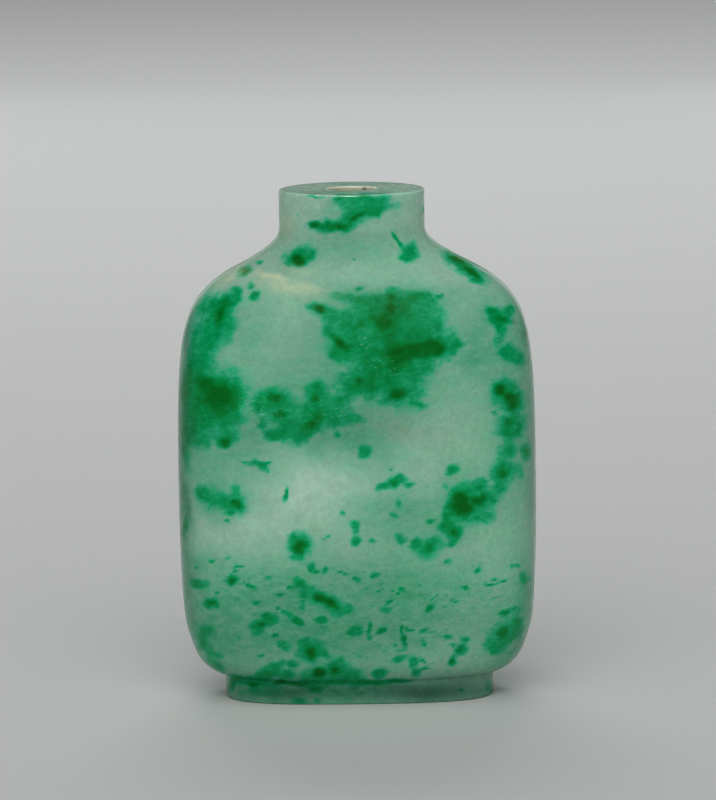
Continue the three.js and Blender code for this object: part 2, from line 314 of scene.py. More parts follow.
    (3, 7.7, 0.76, 0.33, 1, 38), (5.6, 6.8, 0.25, 0.53), (5.8, 5.9, 0.38, 0.51, 0.85),
    (4.6, 5.9, 0.33, 0.33, 0.85), (5.2, 5.2, 0.57, 0.25, 0.95), (5.1, 4.1, 0.95, 0.48, 1, 5),
    (6.8, 3.5, 0.63, 0.76), (7.2, 2.3, 0.63, 0.51), (8.3, 3.7, 0.53, 0.22, 1, -32),
    (8.4, 2.8, 0.76, 0.19, 0.95, 5), (8, 7.6, 0.58, 0.33, 0.92), (6.4, 7.9, 0.76, 0.18, 0.95, -24),
    (8.3, 6.1, 0.28, 0.53, 1, 25), (5.4, 7.9, 0.17, 0.43, 0.95), (11.4, 6.8, 0.58, 0.43, 1, -10),
    (13.5, 6.7, 0.71, 0.39), (13.1, 5.3, 0.95, 0.69, 1, 24), (12, 3.7, 0.53, 0.71, 1, -15),
    (11.9, 5.6, 0.28, 0.2, 0.85), (2.5, 2.2, 0.89, 0.63), (18.8, 7.4, 1.9, 1.08, 1, 26),
    (17.7, 5.9, 1.4, 1.02, 1, 24), (20.2, 8.2, 1.02, 1.27, 0.95), (17.4, 5, 0.63, 0.46),
    (9.5, 7.3, 0.76, 0.15, 0.7), (-0.3, 4.5, 0.51, 0.17, 0.7), (1.1, 5.6, 0.51, 0.13, 0.7),
    # foot
    (-15.4, 1.6, 1.52, 0.63, 0.9, -8), (-7.7, -1.3, 1.02, 0.38, 0.74),
    (-5.5, -1.2, 0.51, 0.38, 0.74), (10.3, 0.5, 0.76, 0.63, 0.78), (13, 0, 0.36, 0.2, 0.9),
    (17, 0, 0.63, 0.89, 0.85), (-16.6, 0.8, 0.51, 0.89, 0.7), (-12.6, 0.2, 2.54, 0.76, 0.6),
)
DARK_CORES = (
    (-4.9, 60.3, 0.57, 0.43), (-1.8, 60.2, 0.76, 0.41, 0.9), (-3.1, 60.2, 1.65, 0.63, 0.55),
    (0.4, 61.3, 0.83, 0.36, 0.8, 22), (-7.2, 55.9, 0.76, 0.63, 1.1, 10),
    (6.3, 56, 0.38, 0.25, 0.3), (-14.1, 54.5, 0.63, 0.25, 0.7, 28),
    (-17.3, 49.2, 0.63, 1.65, 0.7, -8), (-16.4, 50.5, 0.51, 0.76, 0.6),
    (-17.4, 38.3, 2.16, 1.9, 1.1, -10), (-19.2, 40.3, 1.27, 1.02, 0.8),
    (-17, 32.4, 0.89, 0.76, 0.85), (-20.1, 37.8, 1.14, 2.29, 0.55),
    (-10.5, 38.4, 1.02, 0.46, 0.75), (-9.7, 36.2, 1.14, 0.51, 0.75), (-5.4, 38, 0.63, 0.63, 0.7),
    (-6.1, 34.5, 1.02, 0.63, 0.7), (-5.2, 35.3, 0.89, 0.76, 0.6), (3.5, 47.6, 1.08, 1.08),
    (4.5, 49.5, 0.76, 0.76, 0.75), (5.8, 43.6, 1.9, 0.97, 1.3, 5), (8.4, 44.2, 1.78, 0.86, 1.3, 8),
    (10.2, 44.5, 1.02, 0.79, 1.2), (5.2, 38.5, 1.27, 0.76, 0.95, 10),
    (0.6, 40, 0.76, 0.63, 0.75, -20), (-4.5, 49.5, 0.76, 0.38, 0.95, -5),
    (-2, 45.2, 1.27, 0.57, 0.85, -32), (4.7, 51, 0.63, 0.51, 0.7), (5, 42.1, 1.52, 0.76, 0.65),
    (0.6, 52.1, 0.51, 0.25, 0.6), (2.1, 48.6, 1.02, 0.63, 0.55), (4.2, 47.5, 5.84, 3.3, 0.42),
    (5.9, 44.2, 5.59, 2.29, 0.5), (3.1, 40.3, 5.08, 2.79, 0.4), (-1.3, 48.4, 2.03, 1.52, 0.3),
    (14.9, 54.1, 1.14, 0.51, 0.95, -38), (13.2, 55.7, 1.14, 0.44, 0.8, -38),
    (19, 48.1, 0.76, 0.63, 0.75), (18.5, 38.9, 0.7, 0.76), (19.8, 37.9, 0.83, 0.63, 0.95),
    (20.2, 37, 0.76, 0.76, 0.75), (19.4, 34.8, 0.89, 0.76, 0.6), (18.7, 28, 0.76, 0.76, 0.6),
    (13.2, 24.7, 1.27, 0.89, 0.95, 15), (13.5, 23.6, 1.08, 1.02, 1.1),
    (15.5, 24.6, 1.14, 0.63, 0.95), (9.2, 18.6, 0.76, 0.76, 0.6), (12.3, 20.5, 0.51, 0.51, 0.6),
    (4.6, 27.1, 0.76, 0.38, 0.6), (-7.5, 18.8, 0.95, 0.83, 1.05, 32),
    (-15.5, 24.5, 0.89, 0.63, 0.8), (-9.2, 25.7, 0.13, 0.63, 0.6, -14),
    (-16.3, 14.5, 0.51, 0.33, 0.8), (-4.7, 12, 1.27, 0.46, 1, -24),
    (-3.6, 11.4, 1.02, 0.51, 1, -35), (-19, 11.6, 0.51, 0.32, 0.8), (-6.2, 5.1, 0.63, 0.76, 0.8),
    (-3.3, 2.7, 0.63, 0.51, 0.75), (-5.2, 2.4, 0.89, 0.63), (-5.6, 0.7, 0.76, 0.46, 0.95),
    (-10.1, 1.2, 0.89, 0.3, 0.95), (-1.6, 1, 2.54, 0.33, 1.05), (18.4, 7.4, 0.83, 0.51, 0.6, 20),
    (-13.8, 1, 1.02, 0.38, 0.7, -8), (-8.2, 1, 1.78, 0.28, 0.8, -4), (-12.5, 8.6, 0.51, 0.51, 0.6),
    (11.4, 6.9, 0.25, 0.2, 0.6), (13, 5.3, 0.44, 0.33, 0.6, 20), (12, 3.6, 0.3, 0.38, 0.7),
    (18.9, 9.8, 0.38, 0.23, 0.6),
)
HAZE = (
    # left edge, from the shoulder down
    (-20.1, 46, 3.3, 6.98, 0.35), (-21.3, 36.5, 2.79, 6.6, 0.85), (-16, 31.3, 4.32, 2.54, 0.35),
    (-19.2, 26.9, 4.57, 3.3, 0.4),
    # round the middle patch
    (3.1, 45.7, 9.9, 6.6, 0.45), (3.3, 39.7, 7.62, 3.81, 0.45), (-5.9, 36.3, 9.14, 4.32, 0.5),
    # shoulder and neck base
    (-0.6, 57.6, 6.35, 1.78, 0.35), (-14.1, 47.6, 3.81, 4.32, 0.35), (-9.1, 41.5, 7.62, 3.3, 0.25),
    (16.4, 44.7, 3.05, 7.11, 0.5),
    # right edge
    (20.5, 37.5, 3.05, 12.7, 0.5), (13.9, 25.2, 4.57, 4.32, 0.35), (5.7, 22.8, 5.59, 3.56, 0.5),
    # lower third
    (-12.4, 12.3, 10.67, 4.32, 0.55), (5.3, 12.3, 12.7, 5.08, 0.55), (-7.6, 6.7, 13.97, 3.3, 0.55),
    (6.5, 7.1, 7.62, 2.79, 0.3), (-1.9, 3, 21.59, 1.78, 0.25), (-22.4, 25.1, 0.89, 8.89, 0.7),
    (-19.3, 7.4, 4.32, 5.33, 0.6), (20.2, 7.3, 4.32, 4.83, 0.5),
    # neck
    (1.5, 62.3, 6.6, 1.78, 0.3, 8), (-7, 56.2, 2.54, 1.52, 0.25),
    # foot, where the haze is partly a green veil and partly painted shade under the body's
    # overhang
    (-9, 0.2, 7.62, 2.03, 0.6), (-0.1, -0.2, 19.05, 1.78, 0.5), (0, 0.1, 3.56, 1.02, 0.7),
    # top of the middle patch, and the ground between the marks
    (3.8, 50.4, 6.6, 1.52, 0.7), (14, 43.4, 2.03, 3.3, 0.45), (-13.7, 33.8, 3.3, 3.3, 0.4),
    (-1.5, 32.6, 5.08, 2.79, 0.45), (2.3, 30, 3.81, 2.29, 0.4), (-15, 28.9, 5.08, 2.03, 0.25),
    (-17, 24.4, 3.56, 2.03, 0.45), (11.2, 20.2, 4.32, 2.03, 0.3), (-20.3, 17.3, 3.3, 1.78, 0.35),
    (-18.6, 3.2, 3.05, 1.52, 0.5), (20.8, 12.9, 1.52, 4.06, 0.45), (19.6, 4.4, 2.29, 2.29, 0.4),
)
# Milky clouds in the stone, with two painted highlights on the neck just under the lip
MILKY_CLOUDS_AND_PAINTED_GLINTS = (
    (-10.3, 45, 5.33, 4.83, 0.4), (-3.8, 26.7, 8.38, 4.32, 0.85), (-6.7, 24.3, 5.08, 3.3, 0.4),
    (15, 52.3, 5.59, 2.79, 0.45, -25), (17.2, 42.1, 3.3, 4.32, 0.35),
    (-13.7, 20.5, 5.08, 3.05, 0.5), (3.2, 54.2, 8.38, 2.03, 0.35), (15, 14.6, 5.84, 3.05, 0.35),
    (6.5, 63.2, 3.05, 2.29, 1.5), (-5.6, 65.4, 4.32, 0.51, 0.9), (5.7, 65.2, 4.32, 0.51, 1.1),
    # The first two spots on this line are painted highlights on the neck; the third is a milky
    # cloud.
    (-5.1, 63.3, 0.57, 0.28, 1.6, -8), (-2.2, 62.3, 0.3, 0.23, 1.2), (-7.9, 62.7, 2.03, 2.79, 0.6),
    (8.2, 3.8, 3.56, 1.27, 0.25), (6.8, 30.6, 5.84, 2.54, 0.3),
)
# Cream band across the left shoulder: partly a cream vein in the stone and partly a painted
# reflection of the light on the shoulder's curve
CREAM_VEIN_AND_PAINTED_SHEEN = (
    (-10.8, 53.8, 2.16, 0.38, 1, -12), (-8.3, 52.4, 3.05, 0.76, 0.75, -12),
    (-5.7, 51.8, 2.03, 0.63, 0.35, -8), (-15.7, 54.1, 1.52, 0.51, 0.6, 35),
    (-17, 53.1, 1.14, 0.38, 0.4, 40), (-8.8, 60.3, 0.89, 1.14, 0.4),
    (-7, 54.4, 1.52, 0.51, 0.4, -10),
)
RUST = (
    (8.8, 33.1, 4.32, 1.78, 0.25, -6), (5.6, 34.1, 2.54, 1.02, 0.35),
    (20.3, 47.7, 0.51, 0.51, 0.7), (21.7, 45.9, 0.63, 1.14, 0.5), (0, -0.8, 1.27, 0.38, 0.25),
    (-5.6, 2.3, 1.02, 0.51, 0.35), (-17.3, 38, 1.78, 1.27, 0.3), (-13.6, 36.1, 1.02, 2.79, 0.35),
)
SPARKLE = (
    (-19.5, 48.9, 1.52, 1.27, 0.8), (-16.9, 48.3, 1.27, 1.02, 0.7), (1.3, 45.1, 2.29, 1.27, 0.9),
    (3.5, 41.9, 3.3, 1.52, 0.9), (10.1, 42.4, 1.78, 0.89, 0.7), (-18.6, 24, 1.27, 0.76, 0.9),
    (-7.7, 20.8, 1.27, 0.76, 0.9), (-12.1, 36.9, 3.3, 2.54, 0.8), (-13.6, 36.4, 1.27, 3.05, 0.8),
    (-2.1, 36.3, 2.03, 1.52, 0.4), (-3.4, 35.2, 3.81, 2.29, 0.6), (-15, 32.8, 3.81, 1.78, 0.5),
    (8.3, 15.9, 2.54, 1.78, 0.5), (4.2, 28.7, 3.3, 2.03, 0.5),
)
FLECKED = (
    (-12.4, 13.3, 9.9, 4.32, 0.7), (4, 11.8, 13.97, 5.08, 0.6), (15.6, 12.9, 7.11, 4.57, 0.6),
    (-3.8, 6.7, 19.05, 4.32, 0.5), (10.4, 5.2, 8.89, 3.81, 0.6),
)
# Painted shade on the foot, along both narrow edges and towards the bottom, darker shoulders, and
# a band of grey clouds across the middle
PAINTED_SHADE_AND_CLOUDS = (
    # painted shade on the foot under the body's overhang, and on the curve above it
    (-10.3, 0, 10.16, 1.78, 1.1), (9, -0.2, 10.16, 1.78, 1.3), (-1.9, 2.5, 22.86, 1.14, 0.35),
    # grey band across the middle
    (3.6, 33.9, 6.35, 2.79, 0.3, -6), (-7.3, 33.7, 6.35, 2.03, 0.25),
    # shoulders
    (-7, 55.6, 7.62, 3.05, 0.2), (-8.4, 44.1, 5.08, 3.81, 0.15),
    # painted shade along both narrow edges
    (-21.7, 12.1, 1.78, 5.08, 0.3), (22.9, 23.9, 0.89, 7.62, 0.3), (-21.9, 45.8, 1.02, 5.08, 0.42),
    (-22.3, 38.1, 1.02, 5.59, 0.51), (-22.4, 30.3, 1.02, 5.59, 0.51),
    (-22.4, 22.5, 1.02, 5.59, 0.42), (-22.2, 14.7, 1.02, 5.08, 0.38),
    (22.7, 45.2, 1.02, 5.08, 0.31), (23, 37.5, 1.02, 5.59, 0.31), (23, 29.7, 1.02, 5.59, 0.31),
    (22.9, 22, 1.02, 5.59, 0.31), (22.4, 13.5, 1.02, 5.08, 0.34), (21.2, 6.4, 1.27, 2.79, 0.31),
    # lower third, darker towards the bottom
    (-3.8, 6.7, 19.05, 4.32, 0.2),
)

# Dry brown residue clinging to the far side of the mouth: place and half sizes in
# millimetres, then strength where it is not full
RESIDUE = (
    (1.3, 2.5, 64.5, 0.5, 0.8, 0.4), (-2.2, 1.6, 63.6, 0.5, 0.8, 0.6, 0.7),
)

# Marks that the front view does not show, on the narrow sides and the back, written in the
# same way. They are fewer and larger than on the front.
HIDDEN_GREEN = (
    # left narrow side
    (-22.5, 1.5, 45, 3, 4.5, 3.2), (-22.8, -0.5, 37, 3, 3.6, 2.4),
    (-22.8, 4.5, 34, 3, 2.6, 3.4, 0.9), (-22.6, 2.5, 18, 3, 2.2, 1.2, 0.9),
    (-22, -2.5, 12.5, 3, 1.6, 0.8, 0.9), (-21.8, 3.2, 8.6, 3, 3.2, 1.6, 0.85),
    (-17.5, 4, 53.2, 3, 1.6, 0.8, 0.9),
    # right narrow side
    (22.8, 1, 33, 3, 3.2, 3.6, 0.95), (22.7, 5.2, 40.5, 3, 2.8, 2),
    (22.6, -1.2, 24, 3, 2.2, 1.1, 0.9), (22.4, 3.4, 15.5, 3, 1.2, 0.6, 0.9),
    (21.9, 0.6, 9.8, 3, 2.8, 1.5, 0.9), (18.2, 3, 52.2, 3, 2.2, 1, 0.9),
    # back, upper left as seen from behind
    (12.5, 12, 45.5, 4.6, 4, 2.8), (8.6, 12.6, 42.4, 3.2, 4, 2.4),
    (16.2, 11, 41.8, 2.6, 4, 2.6, 0.95), (14.4, 11, 49.6, 2, 4, 1, 0.9),
    # back, middle
    (-3.5, 13, 36, 5.2, 4, 2), (-8.8, 12.8, 38.4, 2.8, 4, 2.6), (1.8, 13, 34.2, 2.6, 4, 1.2, 0.9),
    (-13.6, 12, 33.4, 2.2, 4, 1.3, 0.85), (6.2, 13, 27.4, 1.8, 4, 0.7, 0.95),
    (-17.6, 10.5, 46.8, 2.4, 4, 2, 0.95), (-14.8, 10.8, 50.4, 1.2, 4, 0.8, 0.9),
    # back, low
    (11.6, 12, 19.2, 3.2, 4, 1.9), (15.2, 11, 22.2, 1.7, 4, 1.3, 0.95),
    (-9.6, 12, 14.6, 1.6, 4, 0.9, 0.95), (-6.8, 12, 12.8, 1.1, 4, 0.6, 0.9),
    (-15.8, 10, 20.6, 1.5, 4, 1.1, 0.9), (2.2, 11.5, 9.6, 2.1, 4, 0.8, 0.95),
    (-2.4, 11, 5.6, 2.6, 4, 1.1, 0.85), (8.2, 10.5, 5.2, 1.5, 4, 0.9, 0.9),
    (-12.8, 9.5, 4.6, 2.2, 4, 0.9, 0.9), (4.2, 10, 1.4, 4.4, 3, 0.6, 0.75),
    # neck, right side and back
    (6.8, 6.2, 60.8, 2.2, 2.2, 0.9, 0.95), (-1.6, 9, 62.4, 2.4, 2, 0.8, 0.9),
    (-3.8, 9.4, 56.6, 1.7, 2, 0.9, 0.95), (8.4, -1.6, 62.4, 0.8, 0.9, 0.4, 0.8),
)
HIDDEN_CORES = (
    (-22.8, -0.5, 37, 3, 1.8, 1.2, 0.8), (-22.5, 2.4, 44.6, 3, 1.6, 1.1, 0.6),
    (22.7, 5.2, 40.5, 3, 1.2, 0.9, 0.8), (11.4, 12.2, 45.2, 1.8, 4, 1, 0.9),
    (15.8, 11, 42, 1.1, 4, 1.2, 0.7), (-4.4, 13, 36, 2, 4, 0.8, 0.8),
    (-8.6, 12.8, 38.8, 1, 4, 1, 0.7), (11.6, 12, 19.2, 1.3, 4, 0.9, 0.8),
    (-3.8, 9.4, 56.6, 0.7, 2, 0.4, 0.7),
)
HIDDEN_HAZE = (
    (-22, 3, 42, 5, 7, 9, 0.45), (22, 3, 36, 5, 7, 11, 0.4), (11.5, 12.5, 44.5, 8.5, 6, 6.5, 0.45),
    (-5, 13, 36.5, 10, 6, 4.6, 0.45), (10.5, 12, 19, 7.5, 6, 4.8, 0.4),
    (0, 11, 6.5, 20, 7, 5, 0.5), (0, 8, 1.4, 18, 6, 1.8, 0.5),
)
# Painted shade on the foot at the back, and two darker areas on the back
HIDDEN_SHADE_AND_DARKER_AREAS = (
    (0, 9, 1, 20, 7, 2.4, 0.75), (6, 12, 33, 9, 6, 4, 0.3), (-14, 12, 18, 8, 6, 4, 0.25),
)
HIDDEN_MILK = (
    (8, 12, 31.4, 9, 6, 4, 0.6), (-12, 12, 26.2, 8, 6, 4.6, 0.7), (-4, 12, 47.6, 9, 6, 5, 0.5),
    (22, 4, 20.5, 4, 6, 3.4, 0.4),
)


def linear(colour):
    """An sRGB hex colour as linear red, green and blue."""
    parts = [int(colour[start:start + 2], 16) / 255 for start in (1, 3, 5)]
    return tuple(part / 12.92 if part <= 0.04045 else ((part + 0.055) / 1.055) ** 2.4
                 for part in parts)


def length(name, millimetres, description):
    return bpy.props.FloatProperty(
        name=name, default=millimetres * MM, unit="LENGTH", description=description)


def colour(name, default, description):
    return bpy.props.FloatVectorProperty(
        name=name, default=linear(default), subtype="COLOR", min=0, max=1,
        description=description)


def brightness(name, default, description):
    return bpy.props.FloatProperty(name=name, default=default, min=0, description=description)


def power(name, watts, description):
    return bpy.props.FloatProperty(
        name=name, default=watts, min=0, unit="POWER", description=description)


class BottleSizes(bpy.types.PropertyGroup):
    """Sizes of the bottle."""

    width: length("Width", BOTTLE_SIZE.x / MM, "Width of the body at its widest")
    depth: length("Depth", BOTTLE_SIZE.y / MM, "Depth of the body from front to back")
    height: length("Height", BOTTLE_SIZE.z / MM, "Height from the foot to the lip")
    neck: length("Neck", 18.6, "Diameter of the neck")
    mouth: length("Mouth", 5.9, "Diameter of the mouth and its bore")
    foot_width: length("Foot Width", 34.4, "Width of the foot")
    foot_depth: length("Foot Depth", 20, "Depth of the foot")
    foot_height: length("Foot Height", 2.9, "Height of the foot")
    foot_rim: length("Foot Rim", 2.5, "Width of the flat rim that the bottle stands on")
    wall: length("Wall", 3.2, "Thickness of the wall at the sides")


class JadeColours(bpy.types.PropertyGroup):
    """Colours of the stone."""

    pale: colour("Pale", "#8fc6a8", "Ground colour of the stone")
    grey: colour("Grey", "#9dc3ad", "Greyer clouds in the ground")
    # Milk also paints the two highlights on the neck.
    milk: colour("Milk", "#b9d9c6", "Milky clouds and crystal faces")
    tint: colour("Green Tint", "#42ddb0", "What one layer of green leaves of white")
    haze: colour("Haze", "#95ceb8", "What full haze leaves of white")
    # The cream band is partly a vein and partly a painted reflection of the light.
    cream: colour("Cream", "#d3dcb4", "Cream veins on the left shoulder")
    rust: colour("Rust", "#857a55", "Brownish stain in flaws")
    bored: colour("Bored Wall", "#a9ae90", "Dull wall of the mouth and the hollow")
    residue: colour("Residue", "#6e5a34", "Dry brown residue inside the mouth")


class StudioSettings(bpy.types.PropertyGroup):
    """The table and the light."""

    table: colour("Table", "#c6c8c7", "Colour of the table")
    backdrop: colour("Backdrop", "#999b9a", "Colour behind the table's far edge")
    dome: brightness("Dome", 3.95, "Brightness of the soft light in front")
    surroundings: brightness("Surroundings", 0.12, "Brightness of the dark room")
    back_power: power("Back Lamp", 4, "Power of the lamp behind")
    overhead_power: power("Overhead Softbox", 32, "Power of the softbox that the polish shows")
    rim_power: power("Rim Lights", 0.09, "Power of each side panel")


def even_steps(points, steps):
    """Points at equal distances along a line of points, without the last."""
    points = np.array([tuple(point) for point in points])
    along = np.concatenate([[0], np.cumsum(np.linalg.norm(np.diff(points, axis=0), axis=1))])
    places = np.linspace(0, along[-1], steps + 1)[:-1]
    return np.stack([np.interp(places, along, points[:, axis]) for axis in range(3)], axis=1)


def trace(start, stretches):
    """Rings along an outline of stretches, each with its name, number of rings and points.

    One point is the end of a straight stretch, two are the corner and the end of a rounded
    edge, and three are the handles and the end of a sweep.
    """
    share = np.linspace(0, 1, SWEEP_SAMPLES)[:, None]
    rest = 1 - share
    rings = []
    for _, count, *points in stretches:
        line = [np.array(point) for point in (start, *points)]
        start = points[-1]
        if len(points) == 2:
            first, corner, last = line
            line = [first, first + (corner - first) * 2 / 3, last + (corner - last) * 2 / 3, last]
        if len(line) == 4:
            line = (rest ** 3 * line[0] + 3 * rest ** 2 * share * line[1]
                    + 3 * rest * share ** 2 * line[2] + share ** 3 * line[3])
        rings.append(even_steps(line, count))
    return np.concatenate(rings)


def outline_rings(sizes):
    """Rings of the outline from the middle of the underside over the lip to the hollow's floor.

    Each ring is its half width, its half depth and its height in millimetres. The second
    value returned is the number of the first ring inside the mouth.
    """
    height = sizes.height / MM
    neck = sizes.neck / MM / 2
    mouth = sizes.mouth / MM / 2
    body_x, body_y = sizes.width / MM / 2, sizes.depth / MM / 2
    foot_x, foot_y = sizes.foot_width / MM / 2, sizes.foot_depth / MM / 2
    recess_x, recess_y = foot_x - sizes.foot_rim / MM, foot_y - sizes.foot_rim / MM
    hollow_x, hollow_y = body_x - sizes.wall / MM, body_y - sizes.wall / MM
    edge, cove, recess = EDGE_ROUND, RECESS_COVE, RECESS_DEPTH

    foot_top = np.array((foot_x, foot_y, sizes.foot_height / MM))
    at_table, at_lip = np.array((body_x, body_y, 0)), np.array((body_x, body_y, height))
    outside = trace((0, 0, recess), (
        ("recess", 6, (recess_x - cove, recess_y - cove, recess)),
        ("recess cove", 4, (recess_x, recess_y, recess), (recess_x, recess_y, recess - cove)),
        ("recess side", 2, (recess_x, recess_y, edge)),
        ("inner edge", 4, (recess_x, recess_y, 0), (recess_x + edge, recess_y + edge, 0)),
        ("rim", 3, (foot_x - edge, foot_y - edge, 0)),
        ("outer edge", 5, (foot_x, foot_y, 0), (foot_x, foot_y, edge)),
        ("foot", 9, foot_top - (0, 0, CREASE_ROUND)),
        ("crease", 3, foot_top, foot_top + CREASE_ROUND * np.array(CREASE_REACH)),
        ("undercut", 22, foot_top + UNDERCUT_LEAVES, at_table + UNDERCUT_ARRIVES,
         at_table + LOW_SIDE),
        ("lower side", 62, at_table + LOWER_SIDE_LEAVES, at_table + LOWER_SIDE_ARRIVES,
         at_table + WIDEST),
        ("upper side", 84, at_table + UPPER_SIDE_LEAVES, at_lip + UPPER_SIDE_ARRIVES,
         at_lip + SHOULDER),
        ("neck sweep", 30, at_lip + NECK_SWEEP_LEAVES, (neck, neck, height - NECK_SWEEP_ARRIVES),
         (neck, neck, height - NECK_LENGTH)),
        ("neck", 15, (neck, neck, height - edge)),
        ("lip edge", 6, (neck, neck, height), (neck - edge, neck - edge, height)),
        ("lip", 8, (mouth + edge, mouth + edge, height)),
    ))
    inside = trace((mouth + edge, mouth + edge, height), (
        ("mouth edge", 5, (mouth, mouth, height), (mouth, mouth, height - edge)),
        ("bore", 16, (mouth, mouth, height - BORE_LENGTH)),
        ("hollow shoulder", 12, (*HOLLOW_SHOULDER_REACH, height - BORE_LENGTH),
         (hollow_x, hollow_y, HOLLOW_SHOULDER_HEIGHT), (hollow_x, hollow_y, HOLLOW_HIGH)),
        ("hollow wall", 3, (hollow_x, hollow_y, HOLLOW_LOW)),
        ("hollow bottom", 10, (hollow_x, hollow_y, HOLLOW_BOTTOM_HEIGHT),
         (*HOLLOW_FLOOR_REACH, HOLLOW_FLOOR), (0, 0, HOLLOW_FLOOR)),
    ))
    return np.concatenate([outside, inside, [(0, 0, HOLLOW_FLOOR)]]), len(outside)


def blend(first, second, height, low, high):
    """first up to the low height, second from the high height, and a smooth change between."""
    share = np.clip((height - low) / (high - low), 0, 1)
    return first + (second - first) * share * share * (3 - 2 * share)


def ring_plans(rings, inside_from):
    """Each ring's squareness, and how far its middle lies to the right of the body's."""
    height = rings[:, 2]
    is_outside = np.arange(len(rings)) < inside_from
    foot = blend(FOOT_BASE_SQUARENESS, FOOT_TOP_SQUARENESS, height, 0, BODY_SQUARE_FROM)
    body = blend(foot, BODY_SQUARENESS, height, BODY_SQUARE_FROM, BODY_SQUARE_TO)
    squareness = np.where(
        is_outside, blend(body, NECK_SQUARENESS, height, NECK_ROUND_FROM, NECK_ROUND_TO),
        blend(HOLLOW_SQUARENESS, NECK_SQUARENESS, height, HOLLOW_HIGH, BORE_FROM))
    middle = np.where(
        is_outside, blend(0, NECK_OFFSET, height, OFFSET_FROM, OFFSET_TO),
        blend(0, NECK_OFFSET, height, HOLLOW_OFFSET_FROM, BORE_FROM))
    return squareness, middle


def turn_and_press(sizes):
    """The bottle as a bmesh in millimetres: its outline turned, then pressed flat ring by ring."""
    rings, inside_from = outline_rings(sizes)
    squareness, middle = ring_plans(rings, inside_from)
    bm = bmesh.new()
    ring_number = bm.verts.layers.int.new("ring")
    outline, lines = [], []
    for number, (half_width, _, height) in enumerate(rings):
        vertex = bm.verts.new((0, -half_width, height))
        vertex[ring_number] = number
        if outline:
            lines.append(bm.edges.new((outline[-1], vertex)))
        outline.append(vertex)
    bmesh.ops.spin(bm, geom=outline + lines, cent=(0, 0, 0), axis=(0, 0, 1), angle=math.tau,
                   steps=COLUMNS, use_merge=True)
    bmesh.ops.remove_doubles(bm, verts=bm.verts, dist=MERGE_DISTANCE)
    bmesh.ops.recalc_face_normals(bm, faces=bm.faces)
    for vertex in bm.verts:
        number = vertex[ring_number]
        half_width, half_depth, height = rings[number]
        step = math.atan2(vertex.co.x, -vertex.co.y)
        turn = step - FRONT_CROWDING * math.sin(step) - FACE_CROWDING * math.sin(2 * step)
        across, towards_back = math.sin(turn), -math.cos(turn)
        squared = squareness[number]
        reach = (abs(across) ** squared + abs(towards_back) ** squared) ** (-1 / squared)
        vertex.co = (middle[number] + half_width * across * reach,
                     half_depth * towards_back * reach, height)
    for face in bm.faces:
        face.smooth = True
        face.material_index = int(all(v[ring_number] >= inside_from for v in face.verts))
    bm.verts.layers.int.remove(ring_number)
    return bm


def wandering(places, size, seed):
    """A smooth random vector at each place that changes over the given size in millimetres."""
    across, deep, up = (seed * step for step in SEED_STEPS)
    offsets = [Vector((across + axis * AXIS_STEP, deep, up)) for axis in range(3)]
    return np.array([[noise.noise(Vector(place) / size + offset) for offset in offsets]
                     for place in places])


def pulled(places, pulls):
    """The places after the stone has pulled them about."""
    calm = np.clip(places[:, 2:] / CALM_BELOW, LEAST_PULL, 1)
    return places + calm * sum(far * wandering(places, size, seed) for far, size, seed in pulls)


def seen_on_plane(places):
    """Where the camera sees each place on the upright plane through the bottle's middle."""
    distance = -EYE[1]
    share = distance / (distance + places[:, 1])
    return places[:, 0] * share, EYE[2] + (places[:, 2] - EYE[2]) * share


def front_marks(places, surface, marks, sharing):
    """Strength at each place of the marks drawn on the front face.

    A mark reaches into the stone about as far as it is wide, so it also ends on a side that
    curves away from the camera. Marks that overlap share their strength.
    """
    across, up = seen_on_plane(places)
    surface_across, surface_up = seen_on_plane(surface)
    total = np.zeros(len(places))
    for item in marks:
        mark = Mark(*item)
        tilt = math.radians(mark.tilt)
        nearest = np.argmin((surface_across - mark.across) ** 2 + (surface_up - mark.up) ** 2)
        reach = MARK_DEPTH + MARK_DEPTH_SHARE * max(mark.half_length, mark.half_height)
        right, above = across - mark.across, up - mark.up
        along = (right * math.cos(tilt) + above * math.sin(tilt)) / mark.half_length
        over = (above * math.cos(tilt) - right * math.sin(tilt)) / mark.half_height
        inward = (places[:, 1] - surface[nearest, 1]) / reach
        share = mark.strength * np.exp(-FALL_OFF * (along ** 2 + over ** 2 + inward ** 2))
        total += share ** sharing
    return total ** (1 / sharing)


def hidden_marks(places, spots, sharing):
    """Strength at each place of the marks on the sides and the back."""
    total = np.zeros(len(places))
    for item in spots:
        spot = Spot(*item)
        away = ((places[:, 0] - spot.x) / spot.half_x) ** 2
        away += ((places[:, 1] - spot.y) / spot.half_y) ** 2
        away += ((places[:, 2] - spot.z) / spot.half_z) ** 2
        total += (spot.strength * np.exp(-FALL_OFF * away)) ** sharing
    return total ** (1 / sharing)


